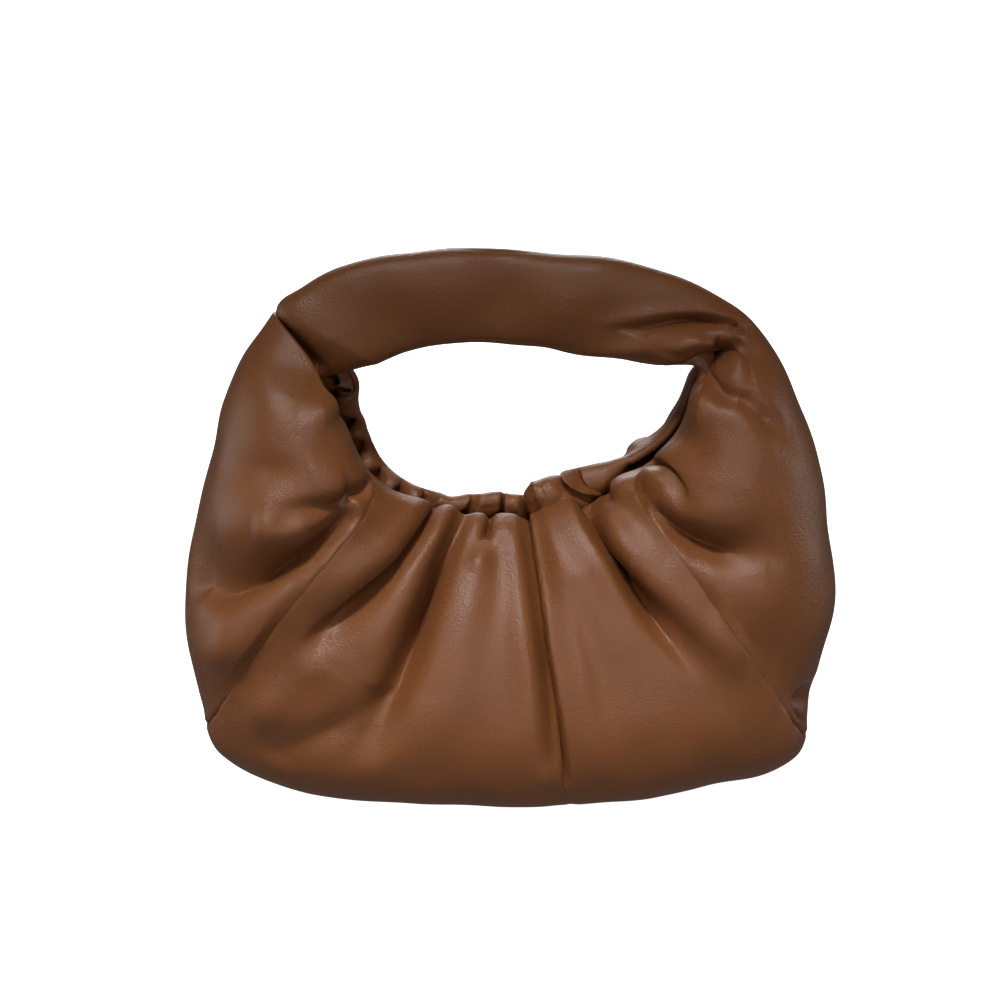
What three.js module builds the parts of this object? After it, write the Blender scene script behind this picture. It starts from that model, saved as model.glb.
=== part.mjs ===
// A small gathered leather handbag. A front and a back panel are drawn up into pleats at the
// mouth, a base panel closes the bottom, and a wide handle runs over into a left and a right
// side. All six are leather walls round a hollow bag, and the handle is hollow too.
//
// Millimetres, +Z up, +X to the right and -Y towards the viewer. The origin is the middle of
// the base, on the surface that the bag stands on.
//
// The whole skin is one surface swept round the handle opening. A place on it is given by
//   angle  degrees round the middle of the opening, from +X, counter-clockwise from the front
//   side   FRONT or BACK half of the cross section there
//   share  0 at the rim of the opening, 1 at the outer edge, where front and back meet
import * as THREE from "three";

// Driving dimensions.
const OPENING_HEIGHT = 155.5;
const WALL = 2;
const HEM_EXTRA = 1.6;
const HEM_SHARE = 0.07;
const SEAM_GAP = 0.5;
const TUCK_GAP = 0.8;
const TUCK_AT_EDGE = 0.4;
const BASE_SHARE = 0.82;
const FLOOR_BLEND = 5;

// How finely the leather is faceted.
const PANEL_COLUMNS = 46;
const SIDE_COLUMNS = 15;
const HANDLE_COLUMNS = 18;
const PANEL_ROWS = 12;
const BASE_ROWS = 2;
const RIM_CROWDING = 1.25;
const GAP_SHARE = SEAM_GAP / 2 / 150;

const FRONT = -1;
const BACK = 1;
const FULL_TURN = 360;
const FIRST_ANGLE = 90;

// Turns rows of numbers into objects with the named columns.
function table(columns, rows) {
  const names = columns.split(" ");
  return rows.map((row) => Object.fromEntries(names.map((name, i) => [name, row[i]])));
}

// Cross sections round the opening. rim, back and outer are distances from its middle to the
// front rim, the back rim and the outer edge. gap is half the slit or mouth between the rims.
// drop, shoulder and belly shape the curve between rim and outer edge: how far it slopes off
// the rim, and how far it swells near the rim and near the edge. The back's rim stands up in a
// collar, so it has a drop and a shoulder of its own.
const SECTIONS = table("at rim back gap drop backDrop shoulder backShoulder belly outer", [
  [90, 40.5, 40.5, 1.2, -1, -1, 13, 13, 12, 82.7],
  [115, 45, 45, 1.2, -1, -1, 13, 13, 12, 90],
  [135, 53.8, 53.8, 1.2, -1, -1, 13, 13, 12, 104],
  [147, 62.3, 62.3, 1.5, -1, -1, 15, 15, 14, 112],
  [156, 71, 69, 6, -1, -1, 26, 26, 24, 115],
  [163, 71, 66, 20, -1, -1, 44, 44, 42, 118],
  [172, 64, 64, 26, 0, 0, 54, 54, 52, 121.5],
  [182, 58, 60, 27, 0, 0, 60, 60, 60, 126],
  [196, 50, 59, 25, 6, 6, 60, 60, 68, 139.5],
  [210, 43, 53, 20, 12, 16, 56, 49, 74, 161.5],
  [221, 37, 41, 17, 16, 26, 52, 38, 70, 178],
  [228, 34, 35.5, 16, 18, 28, 50, 34, 74, 189],
  [240, 31, 29.5, 14, 20, 30, 48, 28, 84, 182],
  [255, 28, 25, 13, 20, 30, 47, 28, 92, 168],
  [270, 27, 24, 13, 20, 30, 47, 28, 94, 164.5],
  [285, 28, 26, 13, 20, 30, 47, 28, 92, 168],
  [300, 29, 21.5, 13, 20, 30, 48, 28, 84, 178.5],
  [312, 31, 22, 14, 18, 30, 50, 28, 74, 191.5],
  [320, 34, 24, 15, 16, 30, 52, 27, 68, 174.5],
  [332, 42, 31, 15, 12, 26, 54, 32, 70, 160],
  [346, 51, 45, 15, 6, 14, 56, 44, 64, 142],
  [358, 62.5, 62.5, 15, 0, 0, 54, 54, 56, 132],
  [368, 71.5, 71.5, 14, 0, 0, 48, 48, 46, 125.5],
  [377, 79, 79, 10, -1, -1, 38, 38, 34, 120.8],
  [385, 73.5, 73.5, 4, -1, -1, 20, 20, 18, 116.8],
  [394, 58, 58, 1.5, -1, -1, 14, 14, 13, 110.2],
  [410, 46.5, 46.5, 1.2, -1, -1, 13, 13, 12, 97],
  [430, 41.5, 41.5, 1.2, -1, -1, 13, 13, 12, 85.4],
]);

// Lines where the pieces meet, as an angle that starts at the rim and turns with the share.
const LEFT_SEAM = { rim: 187, turn: 35.5, power: 0.68, gap: SEAM_GAP };
const RIGHT_SEAM = { rim: 351, turn: -36, power: 0.6, gap: SEAM_GAP };
const LEFT_TUCK = { rim: 163, turn: -13, power: 0.6, gap: TUCK_GAP };
const RIGHT_TUCK = { rim: 385.5, turn: 3.5, power: 0.8, gap: TUCK_GAP };

// At a tuck the end of the handle and the top of a side are pressed in where they meet. above
// and below are how far the press reaches at larger and at smaller angles.
const TUCKS = [
  { line: LEFT_TUCK, depth: 8, above: 3, below: 9 },
  { line: RIGHT_TUCK, depth: 6, above: 3, below: 8 },
];

// Valleys in the leather, pressed in along a line from one share to another, with a low ridge
// pushed up on either side. at and to are the line's angles at its ends and bow its sideways
// swing between them. rim, mid and foot are its depths along the way, width its half width, and
// flare how many times wider its foot is. A negative depth is a ridge.
const FOLD_COLUMNS = "at to bow start end rim mid foot width flare";
const FRONT_FOLDS = table(FOLD_COLUMNS, [
  [226, 221, 0.5, 0, 0.5, 8, 11, 2, 4.5, 1.4],
  [233, 231, 0, 0, 0.2, 3, 2, 0, 2.5, 1.3],
  [242, 237, 1.5, 0, 0.58, 7, 9, 2, 4.5, 1.8],
  [246.3, 246.3, 0, 0.3, 0.8, 1, 3.5, 1, 2.5, 1.3],
  [253, 253, 0, 0, 0.12, 6, 4, 0, 2.8, 1],
  [265, 264, 0, 0, 0.2, 3, 2, 0, 2.5, 1.4],
  [282, 280, -1, 0, 0.9, 8, 8, 2, 3.2, 1.5],
  [277, 274.5, -1, 0.15, 0.88, 2, 4, 2, 4, 1.6],
  [299, 297, 0, 0, 0.25, 4, 3, 0, 2.5, 1.8],
  [311, 308, 0, 0, 0.2, 3, 2, 0, 2.5, 1.5],
  [325, 321, -7, 0, 0.4, 9, 11, 3, 4.5, 1.5],
  [335, 333, 0, 0, 0.12, 5, 3, 0, 3, 1.3],
  [331, 340, 0, 0.2, 0.58, 7, 8, 1, 5.5, 1.7],
  [357, 350, 0, 0.12, 0.36, 4, 6, 0, 4, 1.5],
  [372.5, 372.5, 0, 0.08, 0.32, -3, -4, 0, 5, 1.2],
  [377, 375, 0, 0.2, 0.6, 3, 5, 0, 5, 1.4],
  [188, 189.5, -1, 0.12, 0.55, 5, 7, 2, 3.5, 1.3],
  [197, 203, 0, 0.3, 0.9, 3, 6, 2, 9, 1.4],
  [212, 209, 0, 0, 0.2, 4, 2, 0, 3, 1.3],
  [179, 180, 0, 0.4, 0.75, 1, 3, 1, 6, 1.3],
  [162, 167, 0, 0.1, 0.4, -2, -3, 0, 4, 1.2],
]);
const BACK_FOLDS = table(FOLD_COLUMNS, [
  [217, 214, 0, 0, 0.5, 2, 6, 1, 4, 1.8],
  [229, 225, 0, 0, 0.6, 2, 7, 1, 4, 1.8],
  [245, 240, 0, 0, 0.8, 2, 5, 1, 3.5, 1.8],
  [257, 254, 0, 0, 0.6, 2, 5, 1, 3.5, 1.8],
  [272, 271, 0, 0, 0.95, 2, 5, 2, 3.5, 1.8],
  [290, 291, 0, 0, 0.7, 2, 5, 1, 3.5, 1.8],
  [304, 307, 0, 0, 0.75, 2, 6, 1, 3.5, 1.8],
  [322, 320, 0, 0, 0.55, 2, 7, 1, 4, 1.8],
  [338, 341, 0, 0.1, 0.6, 3, 6, 1, 5.5, 1.7],
  [358, 352, 0, 0.1, 0.4, 3, 5, 0, 4, 1.5],
  [189, 191, 0, 0.1, 0.5, 4, 6, 0, 4, 1.6],
  [197, 204, 0, 0.15, 0.92, 4, 6, 2, 5, 2.2],
]);
const FOLDS = { [FRONT]: FRONT_FOLDS, [BACK]: BACK_FOLDS };
const RIDGE_RISE = 0.35;
const RIDGE_OFFSET = 2.1;

const LEATHER = { color: 0x774b31, roughness: 0.45, metalness: 0 };

const mix = (a, b, t) => a + (b - a) * t;

function smooth(low, high, value) {
  const t = Math.min(1, Math.max(0, (value - low) / (high - low)));
  return t * t * (3 - 2 * t);
}

const SECTION_SIZES = Object.keys(SECTIONS[0]).filter((name) => name !== "at");

// A smooth curve through the rows of the section table, which goes once round the opening.
function sectionAt(angle) {
  const turns = Math.floor((angle - FIRST_ANGLE) / FULL_TURN);
  const wrapped = angle - turns * FULL_TURN;
  const count = SECTIONS.length;
  const row = (i) => {
    const lap = Math.floor(i / count);
    const found = SECTIONS[i - lap * count];
    return { ...found, at: found.at + lap * FULL_TURN };
  };
  const next = SECTIONS.findIndex((found) => found.at > wrapped);
  const i = (next < 0 ? count : next) - 1;
  const [a, b, c, d] = [row(i - 1), row(i), row(i + 1), row(i + 2)];
  const span = c.at - b.at;
  const t = (wrapped - b.at) / span;
  const made = {};
  for (const name of SECTION_SIZES) {
    const slopeIn = ((c[name] - a[name]) / (c.at - a.at)) * span;
    const slopeOut = ((d[name] - b[name]) / (d.at - b.at)) * span;
    const bend = 2 * (b[name] - c[name]) + slopeIn + slopeOut;
    const sweep = 3 * (c[name] - b[name]) - 2 * slopeIn - slopeOut;
    made[name] = b[name] + t * (slopeIn + t * (sweep + t * bend));
  }
  return made;
}

function bezier(a, b, c, d, t) {
  const s = 1 - t;
  return s * s * s * a + 3 * s * s * t * b + 3 * s * t * t * c + t * t * t * d;
}

// The skin before it is folded.
function plainSkin(angle, side, share) {
  const { gap, belly, outer, ...size } = sectionAt(angle);
  const inFront = side === FRONT;
  const edge = inFront ? size.rim : size.back;
  const drop = inFront ? size.drop : size.backDrop;
  const shoulder = inFront ? size.shoulder : size.backShoulder;
  const reach = bezier(edge, edge + drop, outer, outer, share);
  const depth = bezier(gap, shoulder, belly, 0, share);
  const turn = THREE.MathUtils.degToRad(angle);
  const up = OPENING_HEIGHT + reach * Math.sin(turn);
  return new THREE.Vector3(reach * Math.cos(turn), side * depth, up);
}

function skinNormal(angle, side, share) {
  const step = 0.5;
  const nudge = 0.004;
  const inShare = Math.max(0, share - nudge);
  const outShare = Math.min(1, share + nudge);
  const round = plainSkin(angle + step, side, share).sub(plainSkin(angle - step, side, share));
  const across = plainSkin(angle, side, outShare).sub(plainSkin(angle, side, inShare));
  return round.cross(across).normalize().multiplyScalar(side);
}

// Millimetres along the skin from a line to an angle, at a distance from the opening's middle.
function offLine(angle, lineAngle, reach) {
  const turned = THREE.MathUtils.euclideanModulo(angle - lineAngle + 180, FULL_TURN) - 180;
  return reach * THREE.MathUtils.degToRad(turned);
}

const lineAngle = (line, share) => line.rim + line.turn * Math.pow(share, line.power);

// How far one fold presses the skin in at a place.
function foldDepth(fold, angle, share, reach) {
  const along = (share - fold.start) / (fold.end - fold.start);
  const t = Math.min(1, Math.max(0, along));
  const line = mix(fold.at, fold.to, t) + fold.bow * 4 * t * (1 - t);
  const apart = offLine(angle, line, reach);
  const width = fold.width * mix(1, fold.flare, t);
  const depth = mix(mix(fold.rim, fold.mid, Math.min(1, 2 * t)), fold.foot, Math.max(0, 2 * t - 1));
  const fade = smooth(-0.12, 0, along) * (1 - smooth(1, 1.15, along));
  const off = Math.abs(apart) / width;
  const ridges = RIDGE_RISE * Math.exp(-((off - RIDGE_OFFSET) ** 2));
  return depth * fade * (Math.exp(-Math.pow(off, 1.5)) - ridges);
}

function tuckDepth(tuck, angle, share, reach) {
  const apart = offLine(angle, lineAngle(tuck.line, share), reach);
  return tuck.depth * Math.exp(-Math.abs(apart) / (apart > 0 ? tuck.above : tuck.below));
}

function pressedIn(angle, side, share, reach) {
  let depth = 0;
  for (const fold of FOLDS[side]) depth += foldDepth(fold, angle, share, reach);
  for (const tuck of TUCKS) depth += tuckDepth(tuck, angle, share, reach) * mix(1, TUCK_AT_EDGE, share);
  return depth;
}

// Rests the skin on the floor: what hangs below it is flattened.
function onFloor(point) {
  const { z } = point;
  if (z < -FLOOR_BLEND) point.z = 0;
  else if (z < FLOOR_BLEND) point.z = (z + FLOOR_BLEND) ** 2 / (4 * FLOOR_BLEND);
  return point;
}

// The outer and inner faces of the leather at a place.
function leatherAt(angle, side, share) {
  const plain = plainSkin(angle, side, share);
  const reach = Math.hypot(plain.x, plain.z - OPENING_HEIGHT);
  const normal = skinNormal(angle, side, share);
  const outer = onFloor(plain.addScaledVector(normal, -pressedIn(angle, side, share, reach)));
  const wall = WALL + HEM_EXTRA * (1 - smooth(0, HEM_SHARE, share));
  const inner = outer.clone().addScaledVector(normal, -wall);
  return { outer, inner };
}

// A closed wall over a grid of places, from place(column, row).
function wallGeometry(columns, rows, place) {
  const positions = [];
  const layer = (columns + 1) * (rows + 1);
  const inner = [];
  for (let i = 0; i <= columns; i++) {
    for (let j = 0; j <= rows; j++) {
      const at = place(i, j);
      positions.push(...at.outer.toArray());
      inner.push(...at.inner.toArray());
    }
  }
  positions.push(...inner);
  const index = [];
  const quad = (a, b, c, d) => index.push(a, b, c, a, c, d);
  const id = (i, j, side) => side * layer + i * (rows + 1) + j;
  for (let i = 0; i < columns; i++) {
    for (let j = 0; j < rows; j++) {
      quad(id(i, j, 0), id(i, j + 1, 0), id(i + 1, j + 1, 0), id(i + 1, j, 0));
      quad(id(i, j, 1), id(i + 1, j, 1), id(i + 1, j + 1, 1), id(i, j + 1, 1));
    }
  }
  for (let i = 0; i < columns; i++) {
    quad(id(i, 0, 0), id(i + 1, 0, 0), id(i + 1, 0, 1), id(i, 0, 1));
    quad(id(i, rows, 1), id(i + 1, rows, 1), id(i + 1, rows, 0), id(i, rows, 0));
  }
  for (let j = 0; j < rows; j++) {
    quad(id(0, j, 1), id(0, j + 1, 1), id(0, j + 1, 0), id(0, j, 0));
    quad(id(columns, j, 0), id(columns, j + 1, 0), id(columns, j + 1, 1), id(columns, j, 1));
  }
  const geometry = new THREE.BufferGeometry();
  geometry.setAttribute("position", new THREE.Float32BufferAttribute(positions, 3));
  geometry.setIndex(index);
  geometry.computeVertexNormals();
  return geometry;
}

// Degrees that keep a piece clear of a line where it passes an angle and a share.
function clearOf(line, angle, share) {
  const { rim, outer } = sectionAt(angle);
  return THREE.MathUtils.radToDeg(line.gap / 2 / mix(rim, outer, share));
}

// Shares from the rim to the outer edge, row by row, so that the pieces meet row for row.
const panelShare = (row) => BASE_SHARE * Math.pow(row / PANEL_ROWS, RIM_CROWDING);
const baseShare = (row) => mix(BASE_SHARE, 1, row / BASE_ROWS);
const anyShare = (row) => (row < PANEL_ROWS ? panelShare(row) : baseShare(row - PANEL_ROWS));

// A piece of the skin between two lines, with rows that each name a side and a share.
function skinPiece(name, low, high, columns, rows) {
  const geometry = wallGeometry(columns, rows.length - 1, (column, row) => {
    const { side, share } = rows[row];
    const from = lineAngle(low, share);
    const to = lineAngle(high, share);
    const start = from + clearOf(low, from, share);
    const end = to - clearOf(high, to, share);
    return leatherAt(mix(start, end, column / columns), side, share);
  });
  const mesh = new THREE.Mesh(geometry, new THREE.MeshStandardMaterial(LEATHER));
  mesh.name = name;
  return mesh;
}

const steps = (count) => Array.from({ length: count + 1 }, (_, i) => i);
const sideRows = (side, count, shareOf) => steps(count).map((row) => ({ side, share: shareOf(row) }));
const panelRows = (side) =>
  sideRows(side, PANEL_ROWS, (row) => Math.min(panelShare(row), BASE_SHARE - GAP_SHARE));
const baseRows = (side) =>
  sideRows(side, BASE_ROWS, (row) => Math.max(baseShare(row), BASE_SHARE + GAP_SHARE));
const fullRows = (side) => sideRows(side, PANEL_ROWS + BASE_ROWS, anyShare);

// Rows that go from the front over the outer edge to the back.
const around = (rowsOf) => [...rowsOf(FRONT), ...rowsOf(BACK).reverse().slice(1)];

const lapped = (line, turns) => ({ ...line, rim: line.rim + turns * FULL_TURN });

const bag = new THREE.Group();
bag.name = "handbag";
bag.add(skinPiece("front_panel", LEFT_SEAM, RIGHT_SEAM, PANEL_COLUMNS, panelRows(FRONT)));
bag.add(skinPiece("back_panel", LEFT_SEAM, RIGHT_SEAM, PANEL_COLUMNS, panelRows(BACK).reverse()));
bag.add(skinPiece("base_panel", LEFT_SEAM, RIGHT_SEAM, PANEL_COLUMNS, around(baseRows)));
bag.add(skinPiece("left_side", LEFT_TUCK, LEFT_SEAM, SIDE_COLUMNS, around(fullRows)));
bag.add(skinPiece("right_side", RIGHT_SEAM, RIGHT_TUCK, SIDE_COLUMNS, around(fullRows)));
bag.add(skinPiece("handle", lapped(RIGHT_TUCK, -1), LEFT_TUCK, HANDLE_COLUMNS, around(fullRows)));

export default bag;
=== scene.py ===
# Dresses the gathered handbag: six pieces of leather with pleats, tucks and rolled hems.
#
# The skin is one surface swept round the middle of the handle opening. A place on it is given by
# an angle round the opening, a side, front or back, and a share that is 0 at the rim and 1 at
# the outer edge. Sizes in the tables are millimetres and angles are degrees.
import math

import bpy
import numpy as np
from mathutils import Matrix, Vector


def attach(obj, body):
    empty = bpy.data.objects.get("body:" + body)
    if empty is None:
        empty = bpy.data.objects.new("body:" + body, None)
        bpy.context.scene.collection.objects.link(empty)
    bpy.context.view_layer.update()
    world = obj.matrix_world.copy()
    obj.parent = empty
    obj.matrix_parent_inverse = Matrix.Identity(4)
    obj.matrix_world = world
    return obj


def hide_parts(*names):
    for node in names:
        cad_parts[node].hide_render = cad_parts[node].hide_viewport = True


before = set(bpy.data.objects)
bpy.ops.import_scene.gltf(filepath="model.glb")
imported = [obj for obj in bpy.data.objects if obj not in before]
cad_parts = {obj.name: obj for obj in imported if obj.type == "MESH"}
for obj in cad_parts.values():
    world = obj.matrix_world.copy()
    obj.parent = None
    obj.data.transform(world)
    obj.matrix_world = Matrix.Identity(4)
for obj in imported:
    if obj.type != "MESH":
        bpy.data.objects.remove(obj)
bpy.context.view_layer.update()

MM = 0.001
FRONT = -1
BACK = 1
FULL_TURN = 360
FIRST_ANGLE = 90

OPENING_HEIGHT = 155.5
WALL = 2.0
SEAM_GAP = 0.06
BASE_SHARE = 0.86
BASE_HALF_GAP = 0.0003
FLOOR_BLEND = 5

# The turned rim is a roll that runs out into the wall over a share of the skin.
HEM_RADIUS = 1.7
HEM_SHARE = {FRONT: 0.16, BACK: 0.45}
HEM_LAP = 0.3
ROLL_STEPS = 6
SHARP_ANGLE = 65

# The left tuck: the side has a rolled lip that stands proud, and the handle goes in under it.
# The strengths say how proud the lip stands at each of the shares.
LIP_RADIUS = 1.5
LIP_RAISE = 2
LIP_REACH = 7
UNDERLAP = 8
TUCK_SHARES = [0, 0.1, 0.25, 0.4, 0.55, 0.75, 1]
TUCK_STRENGTHS = [0.2, 0.6, 0.8, 0.8, 0.6, 0.3, 0]

# Seams lie in a narrow groove with small puckers along it.
GROOVE_DEPTH = 0.2
GROOVE_WIDTH = 0.9
PUCKER_DEPTH = 0.25
PUCKER_LENGTH = 8
PUCKER_DRIFT = 11
PUCKER_REACH = 8
SEAM_LENGTH = 110
FOOT_CREASE = {"share": 0.85, "long": 0.07, "times": 7}
SEAM_HOLD = 6

# Soft unevenness of the leather.
WAVE_SEED = 7
WAVE_COUNT = 9
WAVE_HEIGHT = 0.13
WAVE_SHORTEST = 22
WAVE_LONGEST = 70

# Beside a fold the leather rises in two ridges and is drawn towards the valley. A fold fades
# past its ends, and all of them fade close to the outer edge.
RIDGE_RISE = 0.22
RIDGE_OFFSET = 2.5
RIDGE_SPREAD = 1.3
PINCH = 0.22
SLOT_POWER = 2.8
FADE_IN = 0.12
FADE_OUT = 0.25
CALM_FROM = 0.95


def table(columns, rows):
    """Named columns of numbers from rows."""
    return dict(zip(columns.split(), np.array(rows, float).T))


# rim and back are distances from the opening's middle to the front and back rims, outer to the
# outer edge. front_gap and back_gap are how far the rims stand off the middle plane. drop and
# shoulder, which the back has of its own, and belly shape the curve from rim to outer edge.
SECTIONS = table("at rim back front_gap back_gap drop back_drop shoulder back_shoulder belly outer", [
    [90, 42.3, 40.5, 2.6, 2.6, 5, 5, 9, 9, 15, 82.7],
    [115, 46.6, 45, 2.6, 2.6, 5, 5, 9, 9, 15, 90],
    [135, 55.3, 53.8, 2.6, 2.6, 5, 5, 9, 9, 15, 104],
    [147, 63.3, 62.3, 3, 3, 4, 4, 13, 13, 16, 112],
    [156, 72, 69, 7, 7, 2, 2, 26, 26, 24, 115],
    [163, 72, 66, 20, 20, 0, 0, 44, 44, 42, 118],
    [172, 64, 64, 26, 26, 0, 0, 54, 54, 52, 121.5],
    [182, 58, 60, 26, 26, 0, 0, 60, 60, 60, 126],
    [196, 50.5, 55, 23, 22, 6, 6, 60, 60, 68, 139.5],
    [210, 43.5, 46.5, 17, 16, 12, 18, 56, 46, 74, 161.5],
    [221, 39, 38.5, 12, 13, 16, 26, 52, 37, 70, 178],
    [228, 36.5, 36, 10, 12, 18, 28, 50, 32, 74, 189],
    [240, 33.5, 29.5, 9, 11, 20, 30, 48, 27, 84, 182],
    [255, 31.5, 26.5, 8.5, 11, 20, 30, 47, 26, 92, 168],
    [270, 31, 25.5, 8.5, 11, 20, 30, 47, 26, 94, 164.5],
    [285, 32, 27.5, 8.5, 9, 20, 30, 47, 22, 92, 168],
    [292, 32.5, 24.5, 8.5, 6, 20, 30, 47.5, 18, 88.3, 172.9],
    [300, 33, 22.5, 8.5, 5, 20, 30, 48, 17, 84, 178.5],
    [312, 34, 24.5, 7.5, 5, 18, 30, 50, 17, 74, 191.5],
    [320, 36, 26, 6.5, 4.5, 16, 30, 52, 17, 68, 174.5],
    [332, 45, 30, 6, 5, 12, 26, 54, 18, 70, 160],
    [340, 49.3, 36.5, 7.5, 6, 8.6, 20, 55.1, 24, 66.6, 149.7],
    [346, 52.5, 44, 7.5, 5, 6, 14, 56, 34, 64, 142],
    [352, 57.5, 52.5, 9, 5, 3, 6, 55, 47, 60, 137],
    [358, 62.5, 61, 10.5, 6, 0, 0, 54, 54, 56, 132],
    [368, 71.5, 70.5, 11, 7.5, 0, 0, 48, 48, 46, 125.5],
    [377, 79, 79, 10, 10, 0, 0, 38, 38, 34, 120.8],
    [383, 85, 84, 6, 6, 2, 2, 22, 22, 20, 117.7],
    [389, 69, 68, 4, 4, 3, 3, 16, 16, 17, 114.1],
    [395, 60.5, 59, 3, 3, 4, 4, 13, 13, 16, 109.4],
    [410, 48, 46.5, 2.6, 2.6, 5, 5, 9, 9, 15, 97],
    [430, 43.2, 41.5, 2.6, 2.6, 5, 5, 9, 9, 15, 85.4],
])

# Past this angle the handle stays a narrow tube, whose rim runs straight on into the left side.
HANDLE_HELD = 147
HANDLE_SLIMMER = 2
HANDLE_END = table("at rim", [[147, 63.3], [154, 72], [161, 82.5], [172, 98]])

# Lines where pieces meet: angle = foot + swing * (1 - share) ** power.
LEFT_SEAM = {"foot": 224, "swing": -37, "power": 1.8}
RIGHT_SEAM = {"foot": 315, "swing": 36, "power": 1.9}
LEFT_TUCK = {"foot": 150, "swing": 17, "power": 2.6}
RIGHT_TUCK = {"foot": 389, "swing": -4.5, "power": 3}

# Valleys along a line from one share to another. at and to are its angles at the ends and bow
# its sideways swing; rim, mid and foot are its depths, width its half width and flare how many
# times wider the foot is. sharp runs from 0, a soft dip, to 1, a slot. lean slides the bottom
# sideways under the leather beside it, and skew widens the slope on the side of larger angles
# and narrows the other. A negative depth is a ridge.
FOLD_COLUMNS = "at to bow start end rim mid foot width flare sharp lean skew"

# A deep hollow under the handle's right end, the roll above it and the crease above the roll.
RIGHT_TUCK_FOLDS = [
    [384, 386.3, 0, 0.1, 0.5, 0, 20, 20, 2.8, 1.4, 0.8, 0.15, 0],
    [400, 388.5, 0.5, 0.1, 0.66, -0.5, -3, -4, 4.5, 1, 0, 0, 0],
    [401, 386.5, 0.3, 0.4, 0.84, 3, 7, 2, 4.6, 0.7, 0.4, 0, 0.6],
]
FOLDS = {
    ("panel", FRONT): table(FOLD_COLUMNS, [
        [221, 223, 1.5, 0, 0.42, 3, 18, 5, 3.2, 1.8, 0.9, -0.2, 0],
        [239.5, 245, 1, 0, 0.55, 2, 15, 6, 3.6, 2.4, 0.6, -0.15, -0.2],
        [221, 223, 1.5, 0, 0.36, 2, 5, 1, 1.1, 1.2, 1, 0, 0],
        [285.5, 280, -0.5, 0, 0.72, 2, 5, 0.5, 1, 1.3, 1, 0, 0],
        [322, 312.5, -4, 0, 0.36, 2, 6, 1, 1.2, 1.3, 1, 0, 0],
        [257, 257, 0, 0, 0.08, 3, 6, 3, 2, 1.2, 0.4, 0, 0],
        [285.5, 280, -0.5, 0, 0.72, 4, 12, 1.5, 3, 2, 0.9, 0.1, -0.4],
        [322.5, 312.5, -3.5, 0, 0.42, 6, 20, 3, 4.8, 1.4, 0.65, 0, 0.35],
        [326, 319.5, 0, 0.1, 0.56, -1, -2.5, -2.5, 5, 1.6, 0, 0, 0],
        [239.5, 233, 0, 0.48, 0.7, 2, 4, 2, 8, 1.2, 0, 0, 0],
        [335, 333, 0, 0, 0.1, 3, 3, 0, 2.6, 1.3, 0.6, 0, 0],
    ]),
    ("left", FRONT): table(FOLD_COLUMNS, [
        [191, 190, -1.5, 0.06, 0.5, 3, 5, 2, 3, 1.8, 0.7, 0.1, 0],
        [196, 192.5, 0.3, 0.3, 0.54, 0, -3.5, -3, 5, 1.6, 0, 0, 0],
        [199.5, 202.5, 4.5, 0.26, 0.8, 9, 14, 7, 7, 1.8, 0.3, 0.1, -0.45],
        [179, 180, 0, 0.4, 0.75, 1, 3, 1, 6, 1.3, 0.1, 0, 0],
        [162, 167, 0, 0.1, 0.4, -2, -3, 0, 4, 1.2, 0.2, 0, 0],
    ]),
    ("right", FRONT): table(FOLD_COLUMNS, [
        [336.5, 342, -2.5, 0.22, 0.58, 8, 13, 3, 6, 1.9, 0.3, 0, 0.2],
        [354, 350, 4, 0.02, 0.3, 3, 5.5, 1, 2.6, 1.5, 0.7, 0.2, -0.3],
        [373.5, 373.5, 0, 0.1, 0.36, -2, -3.5, 0, 5, 1.2, 0, 0, 0],
        [382, 375.5, 0, 0.1, 0.52, 1, 5, 2, 2.6, 1.4, 0.6, 0, -0.4],
        [375, 366, 0, 0.5, 0.74, 1, 4, 1, 5.5, 1.2, 0.1, 0, 0],
    ] + RIGHT_TUCK_FOLDS),
    ("handle", FRONT): table(FOLD_COLUMNS, [
        [166, 153, -4, 0.05, 0.9, 6, 12, 8, 7, 0.75, 0.4, 0, 0],
    ] + RIGHT_TUCK_FOLDS),
    ("panel", BACK): table(FOLD_COLUMNS, [
        [217, 214, 0, 0.05, 0.5, 2, 8, 1, 4, 1.8, 0.8, 0.3, 0],
        [229, 225, 0, 0.05, 0.6, 2, 10, 1, 4, 1.8, 0.8, -0.3, 0],
        [245, 240, 0, 0.05, 0.8, 2, 6, 1, 3.2, 1.8, 0.8, 0.3, 0],
        [257, 254, 0, 0.05, 0.6, 2, 6, 1, 3.2, 1.8, 0.7, 0.3, 0],
        [272, 271, 0, 0.05, 0.72, 3, 7, 2, 3, 1.6, 0.9, 0.3, 0],
        [290, 291, 0, 0.05, 0.7, 2, 6, 1, 3.2, 1.8, 0.7, -0.3, 0],
        [304, 307, 0, 0.05, 0.75, 2, 8, 1, 3.4, 1.8, 0.8, -0.3, 0],
        [322, 320, 0, 0.05, 0.55, 2, 10, 1, 4, 1.8, 0.8, 0.3, 0],
    ]),
    ("right", BACK): table(FOLD_COLUMNS, [
        [338, 341, 0, 0.14, 0.6, 6, 8, 1, 5, 1.7, 0.6, 0, 0],
        [358, 352, 0, 0.1, 0.4, 3, 5, 0, 4, 1.5, 0.5, 0, 0],
        [376, 374, 0, 0.25, 0.6, 2, 4, 0, 5, 1.4, 0.3, 0, 0],
    ]),
    ("left", BACK): table(FOLD_COLUMNS, [
        [189, 191, 0, 0.1, 0.5, 4, 6, 0, 3.5, 1.6, 0.8, 0, 0],
        [197, 204, 0, 0.15, 0.92, 4, 6, 2, 5, 2.2, 0.2, 0, 0],
    ]),
}

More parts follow.
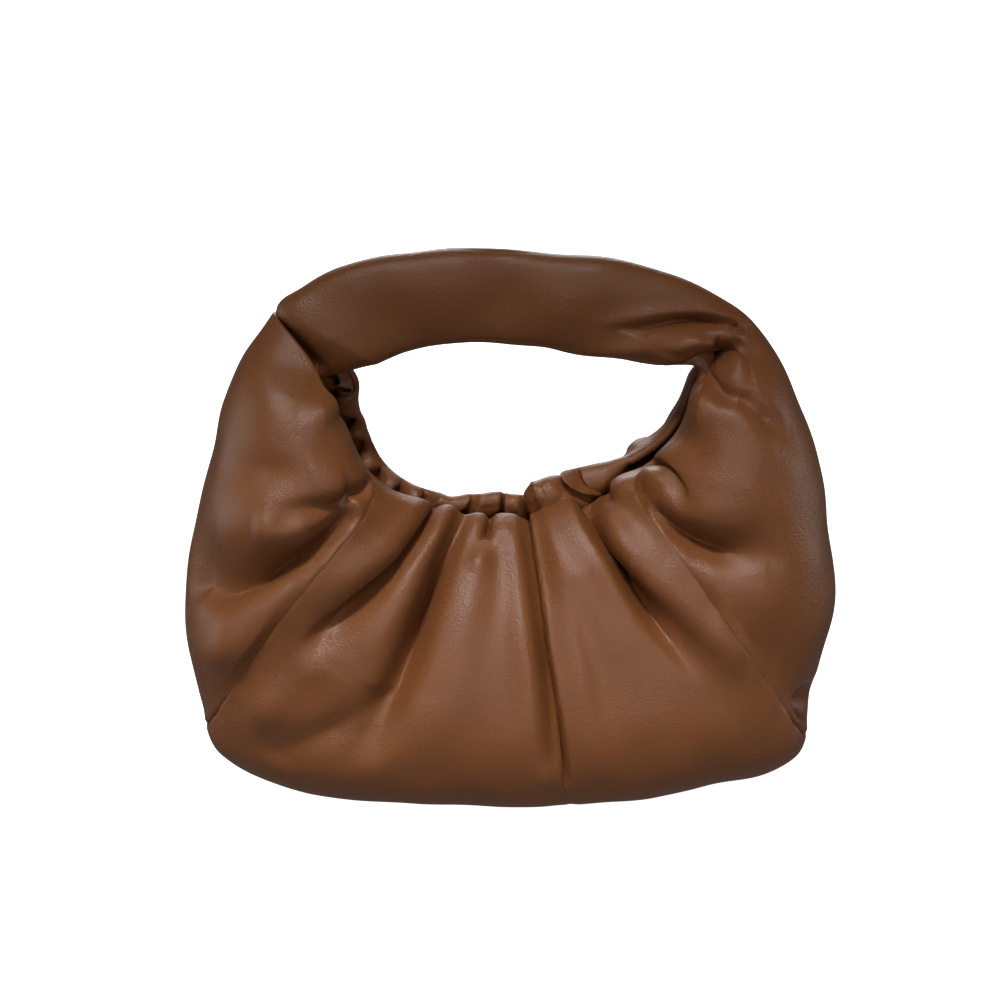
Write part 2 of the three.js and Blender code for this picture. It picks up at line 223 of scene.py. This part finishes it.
# Rounded swellings: a place, how far out, and half widths round the opening and along the share.
DENT_COLUMNS = "at share out wide long"
DENTS = {
    ("panel", FRONT): table(DENT_COLUMNS, [
        [208, 0.08, 3, 11, 0.1],
        [213, 0.28, 2.5, 9, 0.12],
        [228, 0.12, 2, 6, 0.14],
        [226, 0.48, 2.5, 9, 0.07],
        [257, 0.15, 2, 4, 0.03],
        [270, 0.07, 2, 10, 0.07],
        [300, 0.1, 2, 14, 0.12],
        [321, 0.53, 2, 9, 0.06],
        [342, 0.05, 3, 6, 0.08],
        [225, 0.85, 2, 10, 0.07],
        [226, 0.64, 2.5, 7, 0.05],
        [277.5, 0.66, 2, 5, 0.05],
    ]),
    ("left", FRONT): table(DENT_COLUMNS, [
        [191, 0.53, 2, 6, 0.04],
        [213, 0.68, 5.5, 9, 0.09],
    ]),
    ("right", FRONT): table(DENT_COLUMNS, [
        [354, 0.12, 4, 9, 0.08],
        [381.5, 0.36, -3.5, 7, 0.13],
        [319, 0.89, -10, 6, 0.065],
    ]),
    ("handle", FRONT): table(DENT_COLUMNS, [
        [38, 0.65, -1.5, 14, 0.12],
        [92, 0.5, -3, 12, 0.4],
        [66, 0.45, 1.5, 13, 0.3],
        [118, 0.6, 1.5, 14, 0.3],
    ]),
    ("panel", BACK): table(DENT_COLUMNS, [
        [225, 0.05, -2.5, 9, 0.07],
        [252, 0.05, -2, 8, 0.06],
        [275, 0.05, -2, 6, 0.06],
        [305, 0.06, -3, 7, 0.07],
        [326, 0.05, -2, 3, 0.06],
    ]),
    ("right", BACK): table(DENT_COLUMNS, [
        [352, 0.12, 3, 8, 0.08],
        [318, 0.93, -3, 5, 0.06],
    ]),
}

# The rolled rim swells between grooves: where they are and half their widths.
HEM_SWELL = {("panel", FRONT): 0.8, ("panel", BACK): 2.0, ("left", BACK): 3.6, ("right", BACK): 0.4}
GROOVE_COLUMNS = "at wide"
HEM_GROOVES = {
    ("panel", FRONT): table(GROOVE_COLUMNS, [
        [187, 4], [221, 3], [239, 3], [257, 2.5], [285.5, 2], [324, 3], [335, 2], [351, 4],
    ]),
    ("panel", BACK): table(GROOVE_COLUMNS, [
        [187, 3], [198, 1.7], [207, 1.7], [216, 1.6], [240, 1.6],
        [266.5, 1.4], [288, 1.6], [325, 1.5], [335, 1.8], [351, 3],
    ]),
    ("left", BACK): table(GROOVE_COLUMNS, [[152, 6], [167, 2], [178, 2.5], [187, 3]]),
}

# Gathers where the rolled rim is fuller still: where, half their widths and how much.
HEM_GATHERS = {
    ("panel", BACK): table("at wide more", [
        [193, 3.5, 3], [202.5, 3.5, 2.6], [211.5, 3.5, 2],
        [300, 9, 1.5], [316, 6, 2], [330, 3, 2.5], [343, 5, 3],
    ]),
}


def smooth(low, high, value):
    t = np.clip((value - low) / (high - low), 0, 1)
    return t * t * (3 - 2 * t)


def sections(angle):
    """A smooth curve through the section table, once round the opening."""
    at = SECTIONS["at"]
    count = len(at)
    wrapped = angle - np.floor((angle - FIRST_ANGLE) / FULL_TURN) * FULL_TURN
    i = np.searchsorted(at, wrapped, side="right") - 1
    near = [k - np.floor_divide(k, count) * count for k in (i - 1, i, i + 1, i + 2)]
    laps = [np.floor_divide(k, count) * FULL_TURN for k in (i - 1, i, i + 1, i + 2)]
    a, b, c, d = [at[k] + lap for k, lap in zip(near, laps)]
    span = c - b
    t = (wrapped - b) / span
    made = {}
    for name, column in SECTIONS.items():
        p, q, r, s = [column[k] for k in near]
        slope_in = (r - p) / (c - a) * span
        slope_out = (s - q) / (d - b) * span
        bend = 2 * (q - r) + slope_in + slope_out
        sweep = 3 * (r - q) - 2 * slope_in - slope_out
        made[name] = q + t * (slope_in + t * (sweep + t * bend))
    return made


def part_sections(part, angle):
    """Sizes of a part's section. Only the handle's left end differs from the rest of the skin."""
    size = sections(angle)
    if part != "handle":
        return size
    held = sections(np.minimum(angle, HANDLE_HELD))
    straight = np.interp(angle, HANDLE_END["at"], HANDLE_END["rim"])
    for name in ("rim", "back"):
        held[name] = np.where(angle > HANDLE_HELD, straight, size[name])
    held["outer"] = size["outer"] - HANDLE_SLIMMER * smooth(HANDLE_HELD, HANDLE_END["at"][1], angle)
    return held


def bezier(a, b, c, d, t):
    s = 1 - t
    return s ** 3 * a + 3 * s * s * t * b + 3 * s * t * t * c + t ** 3 * d


def plain_skin(part, angle, side, share):
    """Points of the skin before it is folded."""
    size = part_sections(part, angle)
    in_front = side == FRONT
    edge = np.where(in_front, size["rim"], size["back"]) + HEM_RADIUS
    gap = np.where(in_front, size["front_gap"], size["back_gap"])
    drop = np.where(in_front, size["drop"], size["back_drop"])
    shoulder = np.where(in_front, size["shoulder"], size["back_shoulder"])
    reach = bezier(edge, edge + drop, size["outer"], size["outer"], share)
    depth = bezier(gap, shoulder, size["belly"], 0, share)
    turn = np.radians(angle)
    up = OPENING_HEIGHT + reach * np.sin(turn)
    return np.stack([reach * np.cos(turn), side * depth, up], -1)


def unit(vectors):
    return vectors / np.linalg.norm(vectors, axis=-1, keepdims=True)


def skin(part, angle, side, share):
    """Points, outward normals, and directions round the opening and away from the rim."""
    step = 0.3
    nudge = 0.003
    ahead = np.minimum(share + nudge, 1)
    behind = np.maximum(share - nudge, 0)
    points = plain_skin(part, angle, side, share)
    later = plain_skin(part, angle + step, side, share)
    earlier = plain_skin(part, angle - step, side, share)
    round_dir = unit(later - earlier)
    away_dir = unit(plain_skin(part, angle, side, ahead) - plain_skin(part, angle, side, behind))
    normals = unit(np.cross(round_dir, away_dir) * side[..., None])
    return points, normals, round_dir, away_dir


def off_line(angle, middle, reach):
    """Millimetres along the skin from a line, whose angles are its middle, to an angle."""
    turned = np.mod(angle - middle + FULL_TURN / 2, FULL_TURN) - FULL_TURN / 2
    return reach * np.radians(turned)


def line_angle(line, share):
    return line["foot"] + line["swing"] * (1 - share) ** line["power"]


def line_reach(line, share):
    """Distances of a line from the opening's middle."""
    size = sections(line_angle(line, share))
    return size["rim"] + (size["outer"] - size["rim"]) * share


def fold_press(fold, angle, share, reach):
    """How far one fold presses the skin in, and how far it moves it sideways."""
    along = (share - fold["start"]) / (fold["end"] - fold["start"])
    t = np.clip(along, 0, 1)
    line = fold["at"] + (fold["to"] - fold["at"]) * t + fold["bow"] * 4 * t * (1 - t)
    apart = off_line(angle, line, reach)
    width = fold["width"] * (1 + (fold["flare"] - 1) * t)
    depth = np.interp(t, [0, 0.5, 1], [fold["rim"], fold["mid"], fold["foot"]])
    depth = depth * smooth(-FADE_IN, 0, along) * (1 - smooth(1, 1 + FADE_OUT, along))
    even = np.abs(apart) / width
    q = even / (1 + fold["skew"] * np.sign(apart))
    soft = np.exp(-q * q)
    slot = np.exp(-q ** SLOT_POWER)
    valley = soft + (slot - soft) * fold["sharp"]
    ridges = RIDGE_RISE * np.exp(-(((even - RIDGE_OFFSET) / RIDGE_SPREAD) ** 2))
    pulled = PINCH * np.sign(apart) * q * np.exp(1 - q)
    return depth * (valley - ridges), depth * (fold["lean"] * valley - pulled)


def rows_of(columns):
    """One dict for each row of a table of columns."""
    names = list(columns)
    return [dict(zip(names, row)) for row in zip(*columns.values())]


def folded(part, angle, side, share, reach):
    """Outward and sideways moves that the folds and swellings give the skin of a part."""
    out = np.zeros_like(angle)
    slide = np.zeros_like(angle)
    for which in (FRONT, BACK):
        here = side == which
        for fold in rows_of(FOLDS.get((part, which), {})):
            press, move = fold_press(fold, angle, share, reach)
            out -= np.where(here, press, 0)
            slide += np.where(here, move, 0)
        for dent in rows_of(DENTS.get((part, which), {})):
            across = off_line(angle, dent["at"], reach) / dent["wide"]
            along = (share - dent["share"]) / dent["long"]
            out += np.where(here, dent["out"] * np.exp(-across ** 2 - along ** 2), 0)
    calm = 1 - smooth(CALM_FROM, 1, share)
    return out * calm, slide * calm


def hem_radius(part, angle, side, reach):
    """Radius of the rolled rim, fuller between its grooves."""
    radius = np.full_like(angle, HEM_RADIUS)
    for which in (FRONT, BACK):
        full = np.full_like(angle, HEM_SWELL.get((part, which), 0))
        for gather in rows_of(HEM_GATHERS.get((part, which), {})):
            across = off_line(angle, gather["at"], reach) / gather["wide"]
            full += gather["more"] * np.exp(-across ** 2)
        for groove in rows_of(HEM_GROOVES.get((part, which), {})):
            across = off_line(angle, groove["at"], reach) / groove["wide"]
            full *= 1 - np.exp(-across ** 2)
        radius += np.where(side == which, full, 0)
    return radius


def soft_waves():
    """Headings and phases of the waves that make the leather uneven."""
    rng = np.random.default_rng(WAVE_SEED)
    waves = []
    for _ in range(WAVE_COUNT):
        heading = unit(rng.normal(size=3))
        length = rng.uniform(WAVE_SHORTEST, WAVE_LONGEST)
        waves.append((heading * 2 * math.pi / length, rng.uniform(0, 2 * math.pi)))
    return waves


WAVES = soft_waves()


def uneven(points):
    return sum(WAVE_HEIGHT * np.sin(points @ wave + phase) for wave, phase in WAVES)


def end_moves(kind, apart, share, side):
    """Outward move near a piece's end. apart is the distance inside the line it ends on."""
    if kind == "seam":
        length = share * SEAM_LENGTH * side
        near_foot = np.exp(-((share - FOOT_CREASE["share"]) / FOOT_CREASE["long"]) ** 2)
        deeper = 1 + FOOT_CREASE["times"] * near_foot
        groove = GROOVE_DEPTH * deeper * np.exp(-(apart / GROOVE_WIDTH) ** 2)
        wave = np.sin(2 * math.pi * length / PUCKER_LENGTH + np.sin(length / PUCKER_DRIFT))
        return PUCKER_DEPTH * wave * np.exp(-np.abs(apart) / PUCKER_REACH) - groove
    if kind == "lip":
        strength = np.interp(share, TUCK_SHARES, TUCK_STRENGTHS)
        return LIP_RAISE * np.exp(-np.abs(apart) / LIP_REACH) * strength
    return np.zeros_like(apart)


# Millimetres that a piece goes on past the line it ends on, for each kind of end.
END_OVERLAP = {"seam": -SEAM_GAP / 2, "flush": -SEAM_GAP / 2, "lip": -LIP_RADIUS, "under": UNDERLAP}


def on_floor(points, height=0):
    """Points, with what hangs below a height flattened onto it."""
    z = points[..., 2] - height
    blended = (z + FLOOR_BLEND) ** 2 / (4 * FLOOR_BLEND)
    flat = np.where(z < -FLOOR_BLEND, 0, np.where(z < FLOOR_BLEND, blended, z))
    points[..., 2] = flat + height
    return points


def roll_angles():
    """Turns of a rolled edge, from its far side to just before the skin."""
    return np.linspace(math.pi, 0, ROLL_STEPS + 1)[:-1]


def side_rows(side, first, last, count, hem):
    """Rows of (side, share, roll) from one share to another, with the hem's rolled rows first."""
    shares = np.linspace(first, last, count + 1)
    rows = [(side, share, 0.0) for share in shares]
    if hem:
        rows = [(side, first, roll) for roll in roll_angles()] + rows
    return rows


def around_rows(first, count, hem):
    """Rows from the front, over the outer edge, to the back."""
    front = side_rows(FRONT, first, 1, count, hem)
    back = side_rows(BACK, first, 1, count, hem)
    return front + back[::-1][1:]


def leather_grids(part, low, high, columns, rows):
    """Outer and inner grids of points for a piece between two ends."""
    side, share, roll = np.array(rows).T
    lip_rolls = roll_angles() if low["kind"] == "lip" else []
    spread = np.linspace(0, 1, columns + 1)
    spread = np.concatenate([np.zeros(len(lip_rolls)), spread])
    lip_roll = np.concatenate([lip_rolls, np.zeros(columns + 1)])
    shape = (len(spread), len(share))
    side = np.broadcast_to(side, shape)
    share = np.broadcast_to(share, shape)
    roll = np.broadcast_to(roll, shape)[..., None]
    lip_roll = np.broadcast_to(lip_roll[:, None], shape)[..., None]

    low_line = line_angle(low["line"], share)
    high_line = line_angle(high["line"], share)
    start = low_line - np.degrees(END_OVERLAP[low["kind"]] / line_reach(low["line"], share))
    stop = high_line + np.degrees(END_OVERLAP[high["kind"]] / line_reach(high["line"], share))
    angle = start + (stop - start) * spread[:, None]

    points, normals, round_dir, away_dir = skin(part, angle, side, share)
    reach = np.hypot(points[..., 0], points[..., 2] - OPENING_HEIGHT)
    out, slide = folded(part, angle, side, share, reach)
    ends = [
        (low, low_line, off_line(angle, low_line, reach)),
        (high, high_line, -off_line(angle, high_line, reach)),
    ]
    for end_here, line, apart in ends:
        if end_here["leader"] not in (None, part):
            edge_out, edge_slide = folded(end_here["leader"], line, side, share, reach)
            own = smooth(0, SEAM_HOLD, apart)
            out = edge_out + (out - edge_out) * own
            slide = edge_slide + (slide - edge_slide) * own
    for end_here, _, apart in ends:
        out += end_moves(end_here["kind"], apart, share, side)
    out += uneven(points)
    points = points + normals * out[..., None] + round_dir * slide[..., None]
    hem = hem_radius(part, angle, side, reach)[..., None]
    hem_share = np.where(side == FRONT, HEM_SHARE[FRONT], HEM_SHARE[BACK])
    near_hem = (1 - smooth(0, hem_share, share))[..., None]
    wall = WALL + (2 * hem - WALL) * near_hem
    inner = points - normals * wall + away_dir * HEM_LAP * near_hem
    points = points - away_dir * hem * np.sin(roll)
    points = points - normals * hem * (1 - np.cos(roll))
    points = points - round_dir * LIP_RADIUS * np.sin(lip_roll)
    points = points - normals * LIP_RADIUS * (1 - np.cos(lip_roll))
    keep_columns = np.flatnonzero(lip_roll[:, 0, 0] == 0)
    keep_rows = np.flatnonzero(roll[0, :, 0] == 0)
    inner = inner[keep_columns][:, keep_rows]
    return on_floor(points), on_floor(inner, WALL)


def thinned(count, step):
    """Every step-th index, and always the last."""
    kept = list(range(0, count, step))
    if kept[-1] != count - 1:
        kept.append(count - 1)
    return kept


def grid_faces(ids):
    """Quads over a grid of vertex numbers."""
    return np.stack([ids[:-1, :-1], ids[:-1, 1:], ids[1:, 1:], ids[1:, :-1]], -1).reshape(-1, 4)


def zip_faces(outer, inner):
    """Faces that close the strip between two rows of vertices with different counts."""
    faces = []
    segments = len(inner) - 1
    marks = [round(k * (len(outer) - 1) / segments) for k in range(segments + 1)]
    for k in range(segments):
        edge = list(outer[marks[k]:marks[k + 1] + 1])
        faces.append(edge + [inner[k + 1], inner[k]])
    return faces


def sides_of(ids):
    return [ids[:, 0], ids[-1, :], ids[::-1, -1], ids[0, ::-1]]


def leather_object(name, outer, inner, step):
    """A closed wall between an outer grid and a thinned inner one."""
    inner = inner[thinned(inner.shape[0], step)][:, thinned(inner.shape[1], step)]
    outer_ids = np.arange(outer.shape[0] * outer.shape[1]).reshape(outer.shape[:2])
    inner_ids = np.arange(inner.shape[0] * inner.shape[1]).reshape(inner.shape[:2]) + outer_ids.size
    faces = grid_faces(outer_ids).tolist()
    faces += grid_faces(inner_ids)[:, ::-1].tolist()
    for outer_side, inner_side in zip(sides_of(outer_ids), sides_of(inner_ids)):
        faces += zip_faces(outer_side.tolist(), inner_side.tolist())
    vertices = np.concatenate([outer.reshape(-1, 3), inner.reshape(-1, 3)]) * MM
    mesh = bpy.data.meshes.new(name)
    mesh.from_pydata(vertices.tolist(), [], faces)
    mesh.polygons.foreach_set("use_smooth", np.ones(len(mesh.polygons), bool))
    mesh.set_sharp_from_angle(angle=math.radians(SHARP_ANGLE))
    mesh.update()
    piece = bpy.data.objects.new(name, mesh)
    bpy.context.collection.objects.link(piece)
    return piece


def node_maker(material):
    """A material's node tree, and a function that adds a node with its inputs set."""
    tree = material.node_tree

    def make(kind, **settings):
        node = tree.nodes.new(kind)
        for key, value in settings.items():
            node.inputs[key].default_value = value
        return node

    return tree, make


# Colours of the leather at two values of its mottling, and its least and most roughness.
LEATHER_COLOURS = [(0.3, (0.152, 0.0515, 0.015, 1)), (0.7, (0.17, 0.0585, 0.0178, 1))]
LEATHER_ROUGHNESS = (0.38, 0.5)
LEATHER_SPECULAR = 0.36


def leather_material():
    material = bpy.data.materials.new("leather")
    material.use_nodes = True
    tree, make = node_maker(material)
    shader = tree.nodes["Principled BSDF"]
    link = tree.links.new
    place = make("ShaderNodeTexCoord")

    mottle = make("ShaderNodeTexNoise", Scale=38.0, Detail=4.0, Roughness=0.55)
    link(place.outputs["Object"], mottle.inputs["Vector"])
    tint = make("ShaderNodeValToRGB")
    for element, (position, colour) in zip(tint.color_ramp.elements, LEATHER_COLOURS):
        element.position = position
        element.color = colour
    link(mottle.outputs["Fac"], tint.inputs["Fac"])
    link(tint.outputs["Color"], shader.inputs["Base Color"])

    polish = make("ShaderNodeMapRange")
    polish.inputs["To Min"].default_value = LEATHER_ROUGHNESS[0]
    polish.inputs["To Max"].default_value = LEATHER_ROUGHNESS[1]
    link(mottle.outputs["Fac"], polish.inputs["Value"])
    link(polish.outputs["Result"], shader.inputs["Roughness"])
    shader.inputs["Specular IOR Level"].default_value = LEATHER_SPECULAR

    grain = make("ShaderNodeTexVoronoi", Scale=1050.0)
    link(place.outputs["Object"], grain.inputs["Vector"])
    creases = make("ShaderNodeTexNoise", Scale=260.0, Detail=3.0, Roughness=0.6)
    link(place.outputs["Object"], creases.inputs["Vector"])
    grain_bump = make("ShaderNodeBump", Strength=0.5, Distance=0.0003)
    link(grain.outputs["Distance"], grain_bump.inputs["Height"])
    crease_bump = make("ShaderNodeBump", Strength=0.4, Distance=0.0006)
    link(creases.outputs["Fac"], crease_bump.inputs["Height"])
    link(grain_bump.outputs["Normal"], crease_bump.inputs["Normal"])
    link(crease_bump.outputs["Normal"], shader.inputs["Normal"])
    return material


def end(line, kind, leader=None, turns=0):
    """An end of a piece on a line, where it takes over the folds of the part that leads."""
    turned = {**line, "foot": line["foot"] + turns * FULL_TURN}
    return {"line": turned, "kind": kind, "leader": leader}


PANEL_ENDS = (end(LEFT_SEAM, "seam", "panel"), end(RIGHT_SEAM, "seam", "panel"))
LEFT_ENDS = (end(LEFT_TUCK, "lip"), end(LEFT_SEAM, "seam", "panel"))
RIGHT_ENDS = (end(RIGHT_SEAM, "seam", "panel"), end(RIGHT_TUCK, "flush", "handle"))
HANDLE_ENDS = (end(RIGHT_TUCK, "flush", "handle", -1), end(LEFT_TUCK, "under"))
FRONT_ROWS = side_rows(FRONT, 0, BASE_SHARE - BASE_HALF_GAP, 190, True)
BACK_ROWS = side_rows(BACK, 0, BASE_SHARE - BASE_HALF_GAP, 130, True)[::-1]
BASE_ROWS = around_rows(BASE_SHARE + BASE_HALF_GAP, 26, False)
SIDE_ROWS = around_rows(0, 130, True)
HANDLE_ROWS = around_rows(0, 80, True)

# Name, node, part of the skin, ends, columns, rows and how many times coarser the inside is.
PIECES = [
    ("front_leather", "front_panel", "panel", PANEL_ENDS, 360, FRONT_ROWS, 2),
    ("back_leather", "back_panel", "panel", PANEL_ENDS, 300, BACK_ROWS, 1),
    ("base_leather", "base_panel", "panel", PANEL_ENDS, 300, BASE_ROWS, 2),
    ("left_leather", "left_side", "left", LEFT_ENDS, 150, SIDE_ROWS, 2),
    ("right_leather", "right_side", "right", RIGHT_ENDS, 150, SIDE_ROWS, 2),
    ("handle_leather", "handle", "handle", HANDLE_ENDS, 220, HANDLE_ROWS, 2),
]

leather = leather_material()
for name, node, part, ends, columns, rows, inner_step in PIECES:
    outer, inner = leather_grids(part, *ends, columns, rows)
    piece = leather_object(name, outer, inner, inner_step)
    piece.data.materials.append(leather)
    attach(piece, "root")
    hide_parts(node)


# The stage and the camera, in metres, millimetres of lens and degrees.
FLOOR_WIDTH = 8
BACKDROP_RADIUS = 12
CAMERA = {"aim": (-0.003, 0, 0.1284), "elevation": 18, "distance": 1.1, "lens": 92.05}
SENSOR_WIDTH = 36

# Lights: name, place, aim, width, power in watts and spread in degrees.
NARROW = 14
WIDE = 180
LIGHTS = [
    ("key", (-0.18, -0.8, 1.15), (0.02, -0.12, -0.09), 0.5, 0.68, NARROW),
    ("low_left", (-0.55, -1.15, 0.25), (-0.04, -0.05, 0), 0.5, 0.1, NARROW),
    ("low_right", (0.35, -1.25, 0.3), (0.04, -0.05, 0), 0.5, 0.15, NARROW),
    ("back", (0, 1.1, 0.7), (0, 0, 0.08), 0.8, 8, WIDE),
    ("left", (-1.2, 0.1, 0.15), (0, 0, 0.06), 0.6, 3.4, WIDE),
    ("right", (1.2, 0.1, 0.15), (0, 0, 0.06), 0.6, 3, WIDE),
]

# Brightness of the surroundings from straight down, 0, over the horizon, 0.5, to straight up, 1.
WORLD_SHADES = [(0.02, 0.22), (0.3, 0.13), (0.47, 0.06), (0.53, 0.06), (0.58, 0.04), (0.98, 0.05)]


def stage_paint():
    """A pale paint that shows white in any light."""
    paint = bpy.data.materials.new("stage")
    paint.use_nodes = True
    shader = paint.node_tree.nodes["Principled BSDF"]
    shader.inputs["Base Color"].default_value = (0.9, 0.9, 0.9, 1)
    shader.inputs["Roughness"].default_value = 0.8
    shader.inputs["Emission Color"].default_value = (1, 1, 1, 1)
    shader.inputs["Emission Strength"].default_value = 1.0
    return paint


def add_floor(paint):
    bpy.ops.mesh.primitive_plane_add(size=FLOOR_WIDTH, location=(0, 0, 0))
    floor = bpy.context.object
    floor.name = "floor"
    floor.data.materials.append(paint)
    floor.visible_diffuse = False
    floor.visible_glossy = False


def add_backdrop(paint):
    """A plain surround behind the floor. It gives no light and throws no shadow."""
    bpy.ops.mesh.primitive_uv_sphere_add(radius=BACKDROP_RADIUS, location=(0, 0, 0))
    backdrop = bpy.context.object
    backdrop.name = "backdrop"
    backdrop.data.materials.append(paint)
    backdrop.visible_diffuse = False
    backdrop.visible_glossy = False
    backdrop.visible_transmission = False
    backdrop.visible_shadow = False


def add_area_light(name, place, aim, width, power, spread):
    data = bpy.data.lights.new(name, "AREA")
    data.shape = "DISK"
    data.size = width
    data.energy = power
    data.spread = math.radians(spread)
    light = bpy.data.objects.new(name, data)
    bpy.context.collection.objects.link(light)
    light.location = place
    light.rotation_euler = (Vector(aim) - Vector(place)).to_track_quat("-Z", "Y").to_euler()


def add_world():
    """Dim surroundings, brighter from below."""
    world = bpy.data.worlds.new("studio")
    world.use_nodes = True
    tree = world.node_tree
    place = tree.nodes.new("ShaderNodeTexCoord")
    parts = tree.nodes.new("ShaderNodeSeparateXYZ")
    ramp = tree.nodes.new("ShaderNodeValToRGB")
    for position, shade in WORLD_SHADES:
        element = ramp.color_ramp.elements.new(position)
        element.color = (shade, shade, shade, 1)
    ramp.color_ramp.elements.remove(ramp.color_ramp.elements[-1])
    ramp.color_ramp.elements.remove(ramp.color_ramp.elements[0])
    height = tree.nodes.new("ShaderNodeMapRange")
    height.inputs["From Min"].default_value = -1
    tree.links.new(place.outputs["Generated"], parts.inputs["Vector"])
    tree.links.new(parts.outputs["Z"], height.inputs["Value"])
    tree.links.new(height.outputs["Result"], ramp.inputs["Fac"])
    tree.links.new(ramp.outputs["Color"], tree.nodes["Background"].inputs["Color"])
    bpy.context.scene.world = world


def add_camera(aim, elevation, distance, lens):
    data = bpy.data.cameras.new("camera")
    data.lens = lens
    data.sensor_width = SENSOR_WIDTH
    camera = bpy.data.objects.new("camera", data)
    bpy.context.collection.objects.link(camera)
    tilt = math.radians(elevation)
    offset = Vector((0, -math.cos(tilt), math.sin(tilt))) * distance
    camera.location = Vector(aim) + offset
    camera.rotation_euler = (-offset).to_track_quat("-Z", "Y").to_euler()
    bpy.context.scene.camera = camera


paint = stage_paint()
add_floor(paint)
add_backdrop(paint)
add_world()
for light in LIGHTS:
    add_area_light(*light)
add_camera(**CAMERA)
bpy.context.scene.view_settings.view_transform = "Standard"
